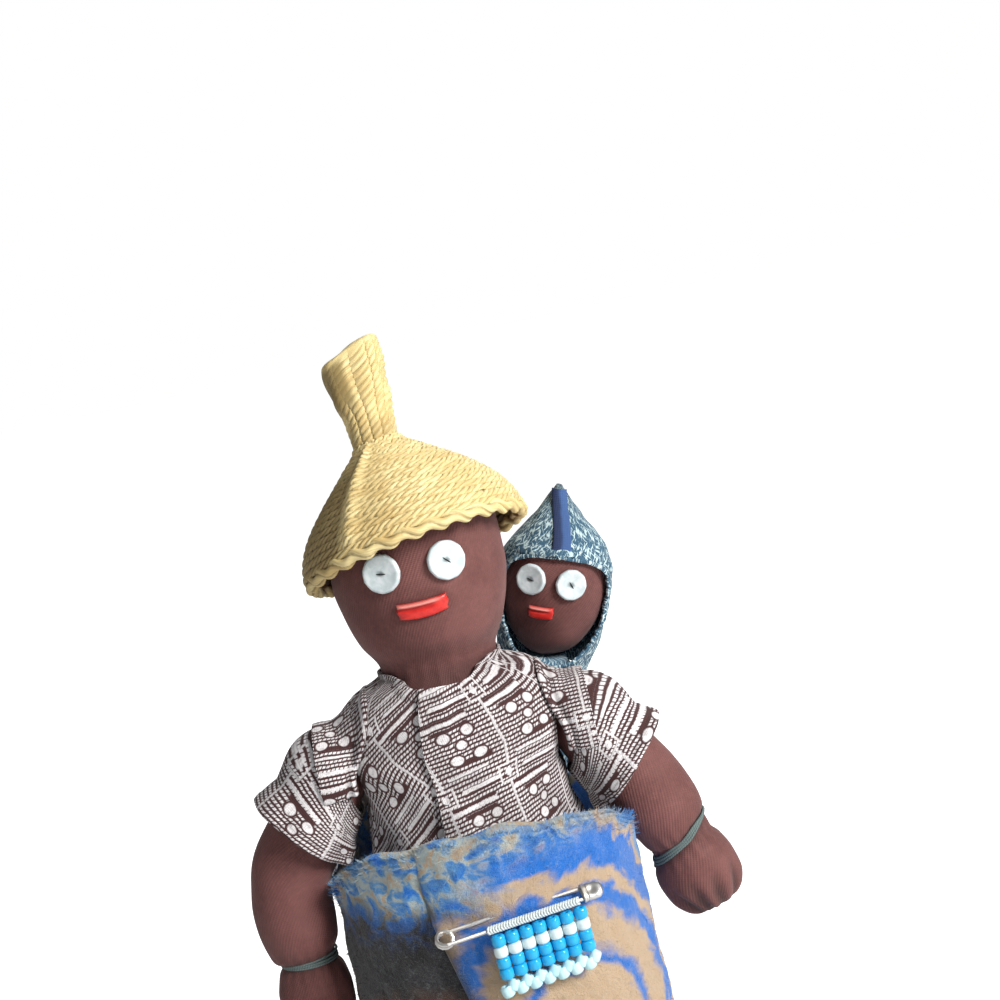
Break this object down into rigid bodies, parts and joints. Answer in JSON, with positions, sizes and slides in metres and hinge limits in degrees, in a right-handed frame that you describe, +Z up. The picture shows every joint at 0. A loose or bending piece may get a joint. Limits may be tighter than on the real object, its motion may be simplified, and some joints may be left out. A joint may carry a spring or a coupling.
{
  "type": "stuffed cloth doll with baby",
  "caption": "Stuffed cloth doll in a printed dress, woven grass hat and pinned fleece blanket, with a hooded baby carried behind its shoulder and a beaded tab on the pin.",
  "frame": {"origin": "middle of the underside of the card disc in the doll's base", "axes": "+Z up the doll, -Y out of its front, +X towards its left arm"},
  "size_m": [0.1156, 0.0954, 0.2227],
  "materials": {
    "skin": "brown woven cotton, stuffed",
    "print": "brown cotton with a white print",
    "fleece": "blue, tan and charcoal fleece",
    "grass": "woven dry grass",
    "disc": "white disc, polished",
    "red": "red strip, glossy",
    "thread": "grey-green thread",
    "card": "plain card",
    "hood": "grey-blue knit with white strokes",
    "strip": "plain blue strip",
    "baby_cloth": "light blue knit",
    "nickel": "nickel-plated wire and sheet",
    "blue_bead": "opaque turquoise glass",
    "white_bead": "clear and pale glass",
    "white_thread": "white cotton thread"
  },
  "bodies": {
    "figure": {"torso": "skin", "base_disc": "card", "head": "skin", "right_eye": "disc", "left_eye": "disc", "mouth": "red", "dress_back": "print", "dress_right_front": "print", "dress_left_front": "print", "dress_skirt": "print", "blanket": "fleece", "pin_spine": "nickel", "pin_cap": "nickel"},
    "right_arm": {"right_arm": "skin", "right_wrist_thread": "thread", "right_sleeve": "print"},
    "left_arm": {"left_arm": "skin", "left_wrist_thread": "thread", "left_sleeve": "print"},
    "hat": {"hat_crown": "grass", "hat_brim_edge": "grass", "hat_topknot": "grass"},
    "baby": {"baby_body": "baby_cloth", "baby_head": "skin", "baby_right_eye": "disc", "baby_left_eye": "disc", "baby_mouth": "red", "baby_hood": "hood", "baby_hood_strip": "strip"},
    "bead_tab": {"first_bead_row": "blue_bead", "second_bead_row": "white_bead", "third_bead_row": "blue_bead", "fourth_bead_row": "blue_bead", "bead_fringe": "white_bead", "tab_lashing": "white_thread"},
    "pin_needle": {"pin_needle": "nickel"}
  },
  "joints": [
    {"name": "right_shoulder", "type": "hinge", "parent": "figure", "child": "right_arm", "pos_m": [-0.0318, 0, 0.1205], "axis": [0, 1, 0], "range_deg": [0, 70]},
    {"name": "left_shoulder", "type": "hinge", "parent": "figure", "child": "left_arm", "pos_m": [0.0318, 0, 0.1205], "axis": [0, -1, 0], "range_deg": [0, 70]},
    {"name": "hat_lift", "type": "slide", "parent": "figure", "child": "hat", "axis": [-0.1578, 0.2588, 0.953], "range_m": [0, 0.06]},
    {"name": "baby_lift", "type": "slide", "parent": "figure", "child": "baby", "axis": [0.3224, -0.1392, 0.9363], "range_m": [0, 0.075]},
    {"name": "bead_tab_swing", "type": "hinge", "parent": "figure", "child": "bead_tab", "pos_m": [0.01082, -0.03705, 0.08719], "axis": [-0.9727, -0.2287, -0.0383], "range_deg": [0, 80]},
    {"name": "pin_needle_press", "type": "hinge", "parent": "figure", "child": "pin_needle", "pos_m": [-0.01017, -0.04067, 0.08778], "axis": [-0.145, 0.7291, -0.6689], "range_deg": [0, 2], "stiffness_Nm_per_rad": 0.02}
  ]
}
